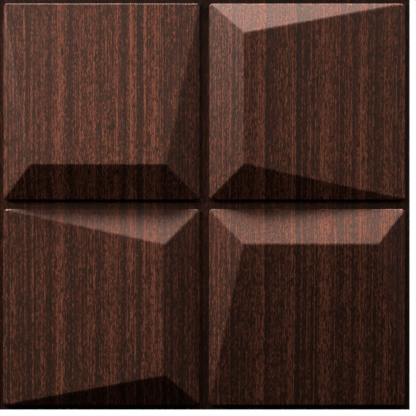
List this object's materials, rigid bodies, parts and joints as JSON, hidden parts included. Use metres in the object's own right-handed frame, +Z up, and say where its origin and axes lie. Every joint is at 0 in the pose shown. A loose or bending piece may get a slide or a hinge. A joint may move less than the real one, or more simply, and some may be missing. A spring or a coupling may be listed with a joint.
{
  "type": "wood wall panel",
  "caption": "Square wall panel carved from a solid board: off-centre hip-roof facets between narrow grooves. Fixes flat to a wall, and its relief carries on into the panels beside it.",
  "frame": {"origin": "centre of the flat back", "axes": "+Z up, +X to the right as seen from the front, +Y out of the back into the wall; the carved front looks towards -Y"},
  "size_m": [0.3, 0.0249, 0.3],
  "materials": {
    "dark_wood": "satin lacquer over dark, straight-grained wood"
  },
  "bodies": {
    "root": {"carved_panel": "dark_wood"}
  },
  "joints": []
}
